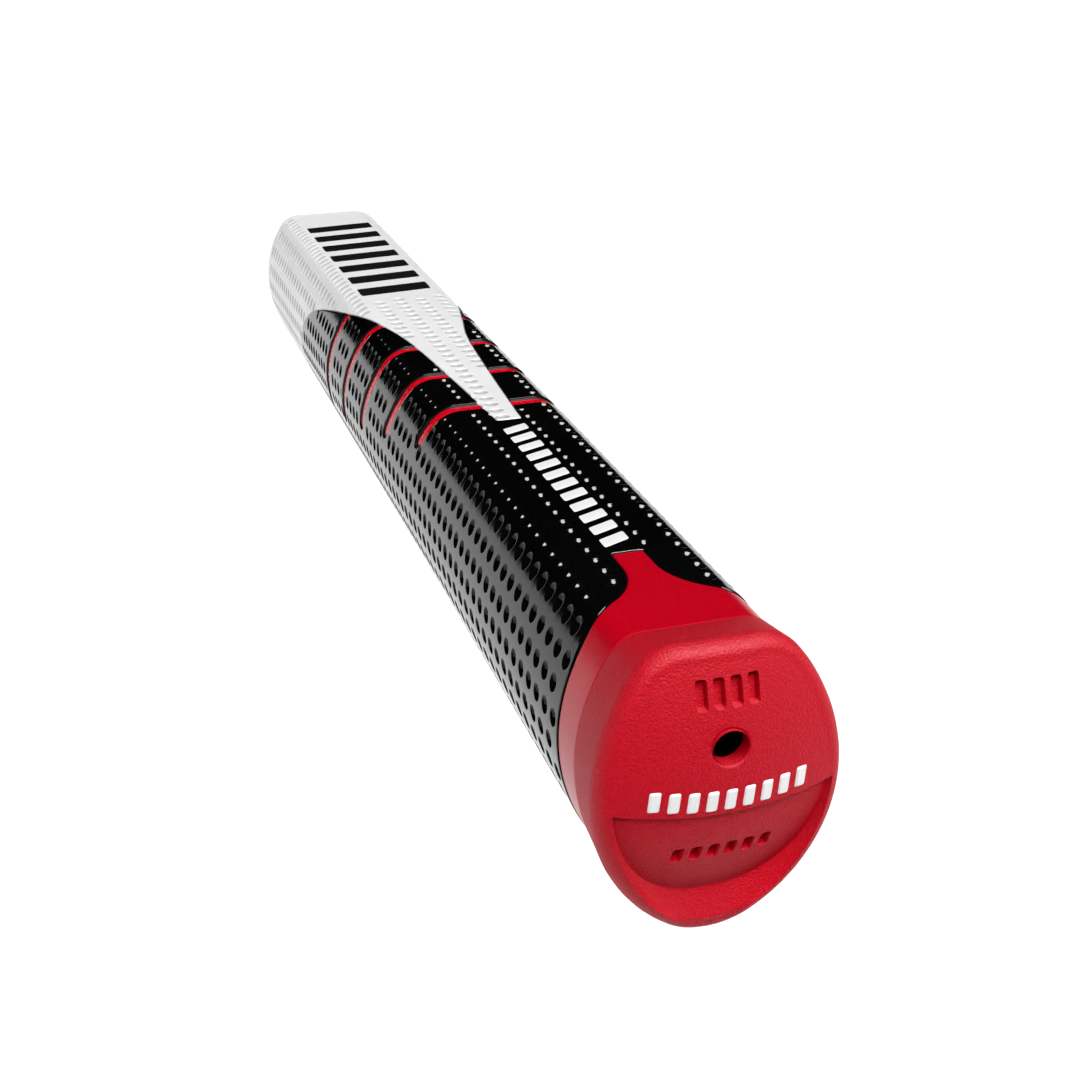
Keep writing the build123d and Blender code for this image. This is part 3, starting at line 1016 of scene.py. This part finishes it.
def black_paint():
    material = new_material("black_paint", (0.012, 0.012, 0.012), 0.3)
    connect_roughness(material, ramp(material, noise(material, 900), 0.25, 0.38))
    bump(material, noise(material, 1800, 2), 0.00002, 0.5)
    return material


def white_rubber():
    material = new_material("white_rubber", (0.76, 0.76, 0.76), 0.4)
    connect_roughness(material, ramp(material, noise(material, 600), 0.36, 0.5))
    bump(material, noise(material, 1500, 2), 0.00003, 0.6)
    return material


def foam():
    material = new_material("foam_rubber", (0.04, 0.04, 0.045), 0.85)
    bump(material, noise(material, 1600, 4), 0.00015)
    tint(material, noise(material, 900), (0.025, 0.025, 0.03), (0.06, 0.06, 0.065))
    return material


def felt():
    material = new_material("felt", (0.3, 0.3, 0.31), 0.95)
    bump(material, noise(material, 2500, 5, (1, 0.2, 1)), 0.0001)
    tint(material, noise(material, 1800, 4), (0.22, 0.22, 0.23), (0.4, 0.4, 0.41))
    return material


def dress(node, material):
    """Gives a material to a CAD node that stays."""
    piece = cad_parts[node]
    piece.data.materials.clear()
    piece.data.materials.append(material)
    piece.data.shade_smooth()
    piece.data.set_sharp_from_angle(angle=math.radians(30))


black, white, red = black_pu(), white_pu(), red_rubber()
red_line, white_fill, black_fill = red_paint(), white_paint(), black_paint()

make_black_skin(black)
make_white_skin(white)
make_groove_paint(-1, "groove_lines_left", "groove_paint_left", red_line)
make_groove_paint(1, "groove_lines_right", "groove_paint_right", red_line)
make_cap(red)
make_face_bars(white_fill)
make_nose(white_rubber())
make_bars("flat_bars", "flat_mark_fill", white_fill, FLAT_BARS, FLAT_BAR, FLAT_BAR_ACROSS)
make_bars("lower_bars", "lower_mark_fill", black_fill, LOWER_BARS, LOWER_BAR)
dress("underlisting_sleeve", foam())
dress("felt_backing", felt())
dress("seam_strip_upper", black)
dress("seam_strip_lower", white)

# ------------------------------------------------------------------ stage, light and camera

FLOOR_DROP = 0.6
FLOOR_SIZE = 60
FLAG_R = 0.42
FLAG_TOP = 0.03
FLAG_TURNS = (195, 308)   # degrees round the cap's face
FLAG_PANELS = 30
VENT_AT = Vector((0, face_y * MM, 0))


def make_floor():
    """A white floor far below."""
    bpy.ops.mesh.primitive_plane_add(size=FLOOR_SIZE, location=(0, 0, -FLOOR_DROP))
    floor = bpy.context.object
    floor.name = "floor"
    material = new_material("floor", (0.93, 0.93, 0.93), 0.9, Specular_IOR_Level=0.0)
    floor.data.materials.append(material)


def sun_light(name, toward, power, angle, diffuse=True, glossy=True):
    """A sun that stands toward a direction; it can light only matt shading or only reflections."""
    data = bpy.data.lights.new(name, "SUN")
    data.energy = power
    data.angle = math.radians(angle)
    lamp = bpy.data.objects.new(name, data)
    lamp.rotation_euler = (-Vector(toward)).to_track_quat("-Z", "Y").to_euler()
    lamp.visible_diffuse = diffuse
    lamp.visible_glossy = glossy
    bpy.context.scene.collection.objects.link(lamp)


def make_flag():
    """A curtain round the front that the camera doesn't see, so that the gloss reflects black there."""
    turns = np.radians(np.linspace(*FLAG_TURNS, FLAG_PANELS + 1))
    coords = [(FLAG_R * math.cos(a), face_y * MM + FLAG_R * math.sin(a), z)
              for z in (-FLOOR_DROP, FLAG_TOP) for a in turns]
    faces = [(k, k + 1, k + FLAG_PANELS + 2, k + FLAG_PANELS + 1) for k in range(FLAG_PANELS)]
    mesh = bpy.data.meshes.new("flag")
    mesh.from_pydata(coords, [], faces)
    mesh.materials.append(new_material("flag", (0.003, 0.003, 0.003), 1.0, Specular_IOR_Level=0.0))
    flag = bpy.data.objects.new("flag", mesh)
    flag.visible_camera = False
    flag.visible_shadow = False
    bpy.context.scene.collection.objects.link(flag)


def make_world():
    """A white surrounding that the camera sees and that lights nothing."""
    world = bpy.data.worlds.new("studio")
    bpy.context.scene.world = world
    world.use_nodes = True
    background = world.node_tree.nodes["Background"]
    background.inputs["Color"].default_value = (1, 1, 1, 1)
    background.inputs["Strength"].default_value = 1.0
    world.cycles_visibility.diffuse = False
    world.cycles_visibility.glossy = False


LENS = 50
SENSOR = 36
CAMERA_AZIMUTH = math.radians(-16.25)
CAMERA_ELEVATION = math.radians(23.33)
CAMERA_ROLL = math.radians(-1.25)
CAMERA_FROM_VENT = Vector((-58.0, -127.0, 84.5)) * MM


def make_camera():
    data = bpy.data.cameras.new("camera")
    data.lens = LENS
    data.sensor_width = SENSOR
    data.clip_start = 0.01
    camera = bpy.data.objects.new("camera", data)
    bpy.context.scene.collection.objects.link(camera)
    look = (Matrix.Rotation(CAMERA_AZIMUTH, 4, "Z") @ Matrix.Rotation(math.pi / 2 - CAMERA_ELEVATION, 4, "X")
            @ Matrix.Rotation(CAMERA_ROLL, 4, "Z"))
    camera.matrix_world = Matrix.Translation(VENT_AT + CAMERA_FROM_VENT) @ look
    bpy.context.scene.camera = camera


# three soft suns give the matt shading, and the last one is seen only in reflections
make_floor()
make_world()
sun_light("key", (0.30, -0.45, 0.95), 2.3, 30, glossy=False)
sun_light("front", (-0.1, -1.0, 1.0), 1.95, 20, glossy=False)
sun_light("left", (-1.0, -0.30, 0.12), 0.9, 30, glossy=False)
sun_light("sparkle", (0.25, -0.38, 1.0), 5.0, 34, diffuse=False)
make_flag()
make_camera()
bpy.context.scene.view_settings.view_transform = "Standard"
bpy.context.scene.view_settings.look = "Medium High Contrast"
